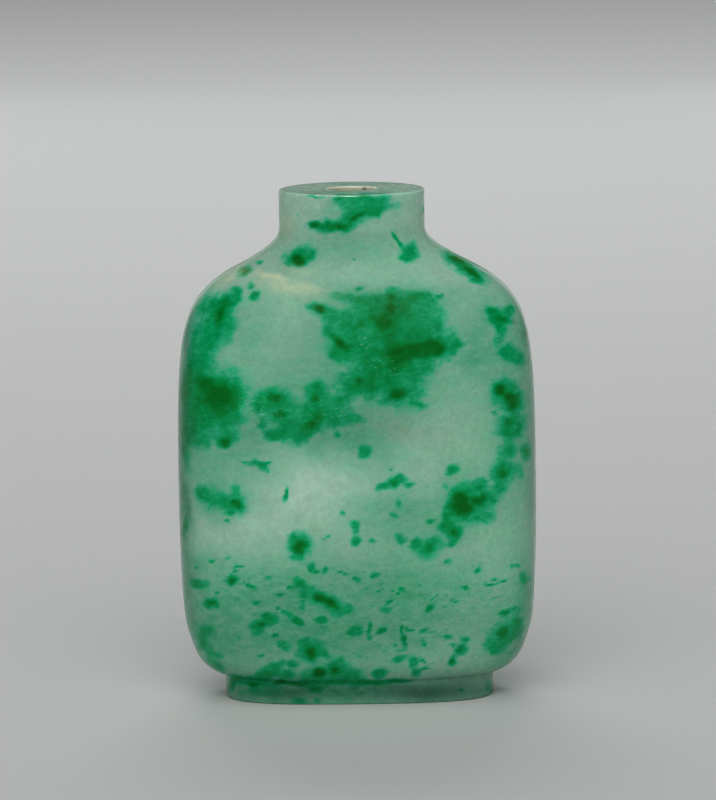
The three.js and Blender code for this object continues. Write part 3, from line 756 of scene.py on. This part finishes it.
def mark_stone(mesh, mouth_radius, height):
    """Stores on every vertex the strength of each kind of marking in the stone, and of the painted
    shade and painted highlights.
    """
    places = np.array([tuple(vertex.co / MM) for vertex in mesh.vertices])
    normals = np.array([tuple(vertex.normal) for vertex in mesh.vertices])
    in_front = places[(places[:, 1] < 0) & (normals[:, 1] < FRONT_FACING)]
    ragged, drifting = pulled(places, RAGGED_PULLS), pulled(places, DRIFTING_PULLS)
    # The higher the last number, the less overlapping marks add up.
    layers = {
        name: np.maximum(front_marks(moved, in_front, marks, sharing),
                         hidden_marks(moved, spots, sharing))
        for name, moved, marks, spots, sharing in (
            ("green", ragged, GREEN_PATCHES, HIDDEN_GREEN, 3),
            ("core", ragged, DARK_CORES, HIDDEN_CORES, 3),
            ("haze", drifting, HAZE, HIDDEN_HAZE, 2),
            ("milk", drifting, MILKY_CLOUDS_AND_PAINTED_GLINTS, HIDDEN_MILK, 2),
            ("dusk", drifting, PAINTED_SHADE_AND_CLOUDS, HIDDEN_SHADE_AND_DARKER_AREAS, 2),
            ("cream", ragged, CREAM_VEIN_AND_PAINTED_SHEEN, (), 2),
            ("rust", drifting, RUST, (), 2),
            ("sparkle", drifting, SPARKLE, (), 2),
            ("flecked", drifting, FLECKED, (), 2))}
    middle, half_height, strength = BACK_FLECKS
    band = strength * np.exp(-((places[:, 2] - middle) / half_height) ** 2) * (places[:, 1] > 0)
    layers["flecked"] = np.maximum(layers["flecked"], band)
    down_bore = np.clip((height - places[:, 2]) / RESIDUE_DEPTH, 0, 1)
    from_axis = np.hypot(places[:, 0] - NECK_OFFSET, places[:, 1])
    layers["residue"] = np.where(from_axis < mouth_radius + BORE_MARGIN,
                                 RESIDUE_AT_LIP + RESIDUE_DOWN_BORE * down_bore,
                                 RESIDUE_IN_HOLLOW)
    layers["residue"] += hidden_marks(places, RESIDUE, 3)
    for name, values in layers.items():
        layer = mesh.attributes.new(name, "FLOAT", "POINT")
        layer.data.foreach_set("value", np.clip(values, 0, STRONGEST).astype(np.float32))


def add_node(tree, kind, settings=None, inputs=None):
    """Adds a node with its settings. An input is a value, or a node whose output feeds it."""
    node = tree.nodes.new(kind)
    for name, value in (settings or {}).items():
        setattr(node, name, value)
    for name, value in (inputs or {}).items():
        if isinstance(name, int):
            socket = node.inputs[name]
        else:
            socket = next(s for s in node.inputs if s.name == name and s.enabled)
        if isinstance(value, bpy.types.Node):
            value = next(s for s in value.outputs if s.enabled)
        if isinstance(value, bpy.types.NodeSocket):
            tree.links.new(value, socket)
        else:
            socket.default_value = value
    return node


def new_material(name):
    material = bpy.data.materials.new(name)
    material.use_nodes = True
    material.node_tree.nodes.clear()
    return material


def opaque(rgb):
    return (*rgb, 1)


def polished_jadeite(colours):
    """Mottled jadeite, ground and polished by hand.

    Interlocking crystals give the pale ground a sugary grain. Chrome-green marks lie in the
    stone and blur at their edges, and the polish leaves a soft, slightly uneven gloss. The
    colour also holds painted shade and painted highlights.
    """
    material = new_material("polished mottled jadeite")
    tree = material.node_tree
    place = add_node(tree, "ShaderNodeTexCoord")
    stone = add_node(tree, "ShaderNodeMapping", {"label": "millimetres"},
                     {"Vector": place.outputs["Object"], "Scale": (1 / MM, 1 / MM, 1 / MM)})
    # The grain of the stone runs across the bottle and rises a little to the right.
    turned = add_node(tree, "ShaderNodeMapping", {"label": "rise of the grain"},
                      {"Vector": stone, "Rotation": (0, GRAIN_RISE, 0)})
    drawn_out = add_node(tree, "ShaderNodeMapping", {"label": "drawn-out grain"},
                         {"Vector": turned, "Scale": (1, 1, GRAIN_STRETCH)})
    # The crystals are 0.1 to 0.4 mm long. They are drawn at 0.35 mm, or they wouldn't show.
    # Each pattern: what it follows, its size in millimetres, its detail and its distortion
    grain = {
        name: add_node(tree, "ShaderNodeTexNoise", {"label": name}, {
            "Vector": where, "Scale": 1 / size, "Detail": detail, "Roughness": 0.6,
            "Distortion": distortion})
        for name, where, size, detail, distortion in (
            ("clouds", stone, 9, 3, 0.2), ("mottling", stone, 2.6, 4, 0.3),
            ("ragged edges", stone, 0.9, 3, 0.4), ("crystals", stone, 0.35, 2, 0),
            ("bedding", drawn_out, 2.4, 5, 0.4), ("wisps", drawn_out, 1.1, 4, 0.5),
            ("flashes", drawn_out, 0.55, 1, 0))}
    stored = {
        name: add_node(tree, "ShaderNodeAttribute",
                       {"attribute_name": name, "attribute_type": "GEOMETRY"}).outputs["Fac"]
        for name in ("green", "core", "haze", "milk", "dusk", "cream", "rust", "sparkle",
                     "flecked")}

    # Each pattern: what it is made from, from where to where, and what that becomes
    eased = {
        name: add_node(tree, "ShaderNodeMapRange", {"interpolation_type": "SMOOTHSTEP"}, {
            "Value": source, "From Min": low, "From Max": high, "To Min": start, "To Max": end})
        for name, source, low, high, start, end in (
            ("grey clouds", grain["clouds"], 0.36, 0.64, 0, 1),
            ("milk mottling", grain["mottling"], 0.3, 0.7, 0.6, 1.25),
            ("bright crystals", grain["crystals"], 0.35, 0.75, 0, 0.35),
            ("rust", stored["rust"], 0.1, 1, 0, 0.55),
            ("ragged shade", grain["ragged edges"], 0.3, 0.7, -0.06, 0.06),
            ("bedded shade", grain["bedding"], 0.3, 0.7, 0.93, 1.03),
            ("haze mottling", grain["bedding"], 0.3, 0.7, 0.65, 1.35),
            ("depth mottling", grain["mottling"], 0.32, 0.68, 0.4, 1.25),
            ("depth bedding", grain["wisps"], 0.3, 0.7, 0.35, 1.0),
            ("wisps", grain["wisps"], 0.53, 0.75, 0, 1),
            ("flecked", stored["flecked"], 0.15, 0.8, 0, 1),
            ("flashes", grain["flashes"], 0.56, 0.76, 0, 1),
            ("sparkling", stored["sparkle"], 0.15, 0.9, 0, 1),
            ("cream mottling", grain["wisps"], 0.3, 0.65, 0.45, 1.1),
            ("gloss", grain["ragged edges"], 0.3, 0.7, *POLISHED_ROUGHNESS))}

    # Noise lies round 0.5, so this keeps the wobble of the edges centred.
    edge = -0.5 * sum(EDGE_WOBBLE.values())
    for name, amount in EDGE_WOBBLE.items():
        edge = add_node(tree, "ShaderNodeMath", {"operation": "MULTIPLY_ADD"},
                        {0: grain[name], 1: amount, 2: edge})
    shade = add_node(tree, "ShaderNodeMath", {"operation": "ADD"},
                     {0: eased["ragged shade"], 1: eased["bedded shade"]})
    # Painted shade: this darkens the foot, the narrow edges, the bottom and the shoulders, along
    # with the grey clouds across the middle.
    lit = add_node(tree, "ShaderNodeMath", {"operation": "MULTIPLY_ADD"},
                   {0: stored["dusk"], 1: PAINTED_SHADE_DARKENING, 2: 1.0})
    depth = add_node(tree, "ShaderNodeMath", {"operation": "ADD"},
                     {0: eased["depth mottling"], 1: eased["depth bedding"]})
    green_edge, core_edge = (
        add_node(tree, "ShaderNodeMath", {"operation": "MULTIPLY_ADD"},
                 {0: edge, 1: amount, 2: stored[name]})
        for name, amount in (("green", 1.0), ("core", CORE_WOBBLE)))
    green, core = (
        add_node(tree, "ShaderNodeMapRange", {"interpolation_type": "SMOOTHSTEP"},
                 {"Value": source, "From Min": low, "From Max": high})
        for source, low, high in ((green_edge, 0.16, 0.88), (core_edge, 0.15, 1.0)))
    products = {
        name: add_node(tree, "ShaderNodeMath", {"operation": "MULTIPLY"}, {0: first, 1: second})
        for name, first, second in (
            ("shade", shade, lit), ("marks", green, depth),
            ("haze", stored["haze"], eased["haze mottling"]),
            ("milk", stored["milk"], eased["milk mottling"]),
            ("flecks", eased["wisps"], eased["flecked"]),
            ("sparkle", eased["flashes"], eased["sparkling"]),
            ("cream", stored["cream"], eased["cream mottling"]))}

    # Haze is thinner where a green mark lies over it.
    open_haze = add_node(tree, "ShaderNodeMath",
                         {"operation": "MULTIPLY_ADD", "use_clamp": True},
                         {0: green, 1: HAZE_HIDDEN, 2: products["haze"]})

    # Layers of green, one over the other, that the light passes on its way
    layers = 0.0
    for part, amount in ((products["marks"], MARK_LAYERS), (core, CORE_LAYERS),
                         (products["haze"], HAZE_LAYERS), (products["flecks"], FLECK_LAYERS)):
        layers = add_node(tree, "ShaderNodeMath", {"operation": "MULTIPLY_ADD"},
                          {0: part, 1: amount, 2: layers})
    uncovered = add_node(tree, "ShaderNodeMath", {"operation": "MULTIPLY_ADD"},
                         {0: products["sparkle"], 1: FLECK_UNCOVERS, 2: 1.0})
    layers = add_node(tree, "ShaderNodeMath", {"operation": "MULTIPLY"},
                      {0: layers, 1: uncovered})
    passed = [add_node(tree, "ShaderNodeMath", {"operation": "POWER"}, {0: part, 1: layers})
              for part in colours.tint]
    passed = add_node(tree, "ShaderNodeCombineColor", None,
                      {"Red": passed[0], "Green": passed[1], "Blue": passed[2]})
    # The cream band, partly a vein and partly a painted reflection of the light, and the pale
    # crystal flecks
    creamy, sparkling = (
        add_node(tree, "ShaderNodeMath", {"operation": "MULTIPLY"},
                 {0: products[name], 1: amount})
        for name, amount in (("cream", CREAM_SHOWS), ("sparkle", FLECK_SHOWS)))

    surface = opaque(colours.pale)
    for share, over, way in (
            (eased["grey clouds"], opaque(colours.grey), "MIX"),
            (products["milk"], opaque(colours.milk), "MIX"),
            (eased["bright crystals"], opaque(colours.milk), "MIX"),
            (eased["rust"], opaque(colours.rust), "MIX"),
            (1.0, products["shade"], "MULTIPLY"),
            (open_haze, opaque(colours.haze), "MULTIPLY"), (1.0, passed, "MULTIPLY"),
            (creamy, opaque(colours.cream), "MIX"), (sparkling, opaque(colours.milk), "MIX")):
        surface = add_node(tree, "ShaderNodeMix", {"data_type": "RGBA", "blend_type": way},
                           {"Factor": share, "A": surface, "B": over})

    # The grinding leaves faint hollows, and the softest crystals are polished a little deeper.
    uneven = add_node(tree, "ShaderNodeBump", None, {
        "Strength": 0.12, "Distance": 0.12 * MM, "Height": grain["mottling"]})
    pitted = add_node(tree, "ShaderNodeBump", None, {
        "Strength": 0.1, "Distance": 0.02 * MM, "Height": grain["crystals"], "Normal": uneven})
    shader = add_node(tree, "ShaderNodeBsdfPrincipled", None, {
        "Base Color": surface, "Roughness": eased["gloss"], "IOR": JADEITE_IOR,
        "Subsurface Weight": 0.6, "Subsurface Radius": (0.4, 1.0, 0.7),
        "Subsurface Scale": 0.3 * MM, "Specular IOR Level": 0.07, "Normal": pitted})
    add_node(tree, "ShaderNodeOutputMaterial", None, {"Surface": shader})
    return material


def bored_jadeite(colours):
    """The wall of the bore and the hollow, ground with an iron bit and left dull.

    The unpolished stone scatters light like sugar, and dry brown residue clings to it.
    """
    material = new_material("ground dull jadeite")
    tree = material.node_tree
    place = add_node(tree, "ShaderNodeTexCoord")
    stone = add_node(tree, "ShaderNodeMapping", {"label": "millimetres"},
                     {"Vector": place.outputs["Object"], "Scale": (1 / MM, 1 / MM, 1 / MM)})
    # Blotches of residue are 1.6 mm across and the bit's pits 0.3 mm.
    blotch, pits = (
        add_node(tree, "ShaderNodeTexNoise", None,
                 {"Vector": stone, "Scale": 1 / size, "Detail": detail}).outputs["Fac"]
        for size, detail in ((1.6, 3), (0.3, 2)))
    residue = add_node(tree, "ShaderNodeAttribute",
                       {"attribute_name": "residue", "attribute_type": "GEOMETRY"})
    clinging = add_node(tree, "ShaderNodeMath", {"operation": "MULTIPLY"},
                        {0: residue.outputs["Fac"], 1: blotch})
    share = add_node(tree, "ShaderNodeMapRange", {"interpolation_type": "SMOOTHSTEP"},
                     {"Value": clinging, "From Min": 0.5, "From Max": 0.64})
    wall = add_node(tree, "ShaderNodeMix", {"data_type": "RGBA"}, {
        "Factor": share, "A": opaque(colours.bored), "B": opaque(colours.residue)})
    rough = add_node(tree, "ShaderNodeBump", None,
                     {"Strength": 0.4, "Distance": 0.06 * MM, "Height": pits})
    shader = add_node(tree, "ShaderNodeBsdfPrincipled", None, {
        "Base Color": wall, "Roughness": DULL_ROUGHNESS, "IOR": JADEITE_IOR,
        "Subsurface Weight": 0.3, "Subsurface Radius": (0.6, 1.0, 0.8),
        "Subsurface Scale": 0.6 * MM, "Normal": rough})
    add_node(tree, "ShaderNodeOutputMaterial", None, {"Surface": shader})
    return material


def matte_paper(rgb):
    """Seamless background paper: matt, with a very faint tooth.

    The tooth of such paper is under 0.1 mm. It is drawn at about 1 mm, or it wouldn't show.
    """
    material = new_material("matt background paper")
    tree = material.node_tree
    place = add_node(tree, "ShaderNodeTexCoord")
    tooth = add_node(tree, "ShaderNodeTexNoise", None, {
        "Vector": place.outputs["Object"], "Scale": 900, "Detail": 2})
    bump = add_node(tree, "ShaderNodeBump", None, {
        "Strength": 0.05, "Distance": 0.1 * MM, "Height": tooth.outputs["Fac"]})
    shader = add_node(tree, "ShaderNodeBsdfPrincipled", None, {
        "Base Color": opaque(rgb), "Roughness": PAPER_ROUGHNESS, "Specular IOR Level": 0.2,
        "Normal": bump})
    add_node(tree, "ShaderNodeOutputMaterial", None, {"Surface": shader})
    return material


def link_object(name, data):
    made = bpy.data.objects.new(name, data)
    bpy.context.scene.collection.objects.link(made)
    return made


class SNUFFBOTTLE_OT_bottle(bpy.types.Operator):
    """Turns, presses and colours the jadeite bottle"""

    bl_idname = "snuffbottle.bottle"
    bl_label = "Bottle"

    def execute(self, context):
        sizes = context.scene.snuff_bottle_sizes
        colours = context.scene.snuff_bottle_colours
        mesh = bpy.data.meshes.new("jadeite_bottle")
        bm = turn_and_press(sizes)
        bmesh.ops.scale(bm, vec=(MM, MM, MM), verts=bm.verts)
        bm.to_mesh(mesh)
        bm.free()
        mark_stone(mesh, sizes.mouth / MM / 2, sizes.height / MM)
        mesh.materials.append(polished_jadeite(colours))
        mesh.materials.append(bored_jadeite(colours))
        bottle = link_object("jadeite_bottle", mesh)
        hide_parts("bottle")
        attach(bottle, "root")
        return {"FINISHED"}


def hang_lamp(lamp, watts):
    """A rectangular softbox that faces the bottle."""
    light = bpy.data.lights.new(lamp.name, "AREA")
    light.shape = "RECTANGLE"
    light.size, light.size_y = lamp.width, lamp.height
    light.energy = watts
    softbox = link_object(lamp.name, light)
    softbox.visible_camera = False
    softbox.visible_diffuse = not lamp.polish_only
    softbox.location = lamp.place
    facing = Vector(LAMP_AIM) - Vector(lamp.place)
    softbox.rotation_euler = facing.to_track_quat("-Z", "Y").to_euler()


def studio_room(studio):
    """One broad soft light, high in front and a little to the left, fades into a dark room."""
    world = bpy.data.worlds.new("studio")
    world.use_nodes = True
    tree = world.node_tree
    tree.nodes.clear()
    sky = add_node(tree, "ShaderNodeTexCoord")
    towards = add_node(tree, "ShaderNodeVectorMath", {"operation": "DOT_PRODUCT"}, {
        0: sky.outputs["Generated"], 1: Vector(DOME_DIRECTION).normalized()})
    lobe = add_node(tree, "ShaderNodeMath", {"operation": "MULTIPLY_ADD"}, {
        0: towards.outputs["Value"], 1: DOME_TIGHTNESS, 2: -DOME_TIGHTNESS})
    lobe = add_node(tree, "ShaderNodeMath", {"operation": "EXPONENT"}, {0: lobe})
    path = add_node(tree, "ShaderNodeLightPath")
    # The diffuser in front of the light keeps most of it out of the polish.
    seen, around = (
        add_node(tree, "ShaderNodeMath", {"operation": "MULTIPLY_ADD"}, {
            0: path.outputs["Is Glossy Ray"], 1: -DIFFUSED * bright, 2: bright})
        for bright in (studio.dome, studio.surroundings))
    strength = add_node(tree, "ShaderNodeMath", {"operation": "MULTIPLY_ADD"}, {
        0: lobe, 1: seen, 2: around})
    room = add_node(tree, "ShaderNodeBackground", None, {
        "Color": (1, 1, 1, 1), "Strength": strength})
    backdrop = add_node(tree, "ShaderNodeBackground", None, {
        "Color": opaque(studio.backdrop), "Strength": 1})
    both = add_node(tree, "ShaderNodeMixShader", None, {
        0: path.outputs["Is Camera Ray"], 1: room, 2: backdrop})
    add_node(tree, "ShaderNodeOutputWorld", None, {"Surface": both})
    return world


class SNUFFBOTTLE_OT_stage(bpy.types.Operator):
    """Lays the table, lights it and sets the camera"""

    bl_idname = "snuffbottle.stage"
    bl_label = "Stage"

    def execute(self, context):
        scene = context.scene
        studio = scene.snuff_bottle_studio
        bm = bmesh.new()
        bmesh.ops.create_circle(bm, cap_ends=True, segments=TABLE_SIDES, radius=TABLE_RADIUS)
        mesh = bpy.data.meshes.new("table")
        bm.to_mesh(mesh)
        bm.free()
        mesh.materials.append(matte_paper(studio.table))
        link_object("table", mesh)

        scene.world = studio_room(studio)
        for lamp in LAMPS:
            hang_lamp(lamp, getattr(studio, lamp.power))

        camera = link_object("camera", bpy.data.cameras.new("camera"))
        camera.data.lens = LENS
        camera.data.sensor_width = SENSOR
        camera.data.clip_start, camera.data.clip_end = CLIP_NEAR, CLIP_FAR
        camera.location = Vector(EYE) * MM
        camera.rotation_euler = (Vector(AIM) - Vector(EYE)).to_track_quat("-Z", "Y").to_euler()
        camera.rotation_euler.rotate_axis("Z", math.radians(CAMERA_ROLL))
        scene.camera = camera
        scene.view_settings.view_transform = "Standard"
        return {"FINISHED"}


class SNUFFBOTTLE_PT_panel(bpy.types.Panel):
    """The bottle's steps, sizes and colours"""

    bl_idname = "SNUFFBOTTLE_PT_panel"
    bl_label = "Snuff Bottle"
    bl_space_type = "VIEW_3D"
    bl_region_type = "UI"
    bl_category = "Snuff Bottle"

    def draw(self, context):
        layout = self.layout
        for operator in (SNUFFBOTTLE_OT_bottle, SNUFFBOTTLE_OT_stage):
            layout.operator(operator.bl_idname)
        for group in ("snuff_bottle_sizes", "snuff_bottle_colours", "snuff_bottle_studio"):
            settings = getattr(context.scene, group)
            box = layout.box()
            for name in settings.bl_rna.properties.keys():
                if name not in ("rna_type", "name"):
                    box.prop(settings, name)


CLASSES = (BottleSizes, JadeColours, StudioSettings, SNUFFBOTTLE_OT_bottle,
           SNUFFBOTTLE_OT_stage, SNUFFBOTTLE_PT_panel)


def register():
    for item in CLASSES:
        bpy.utils.register_class(item)
    scene = bpy.types.Scene
    scene.snuff_bottle_sizes = bpy.props.PointerProperty(type=BottleSizes)
    scene.snuff_bottle_colours = bpy.props.PointerProperty(type=JadeColours)
    scene.snuff_bottle_studio = bpy.props.PointerProperty(type=StudioSettings)


def unregister():
    scene = bpy.types.Scene
    del scene.snuff_bottle_studio
    del scene.snuff_bottle_colours
    del scene.snuff_bottle_sizes
    for item in reversed(CLASSES):
        bpy.utils.unregister_class(item)


def main():
    register()
    bpy.ops.snuffbottle.bottle()
    bpy.ops.snuffbottle.stage()


if __name__ == "__main__":
    main()
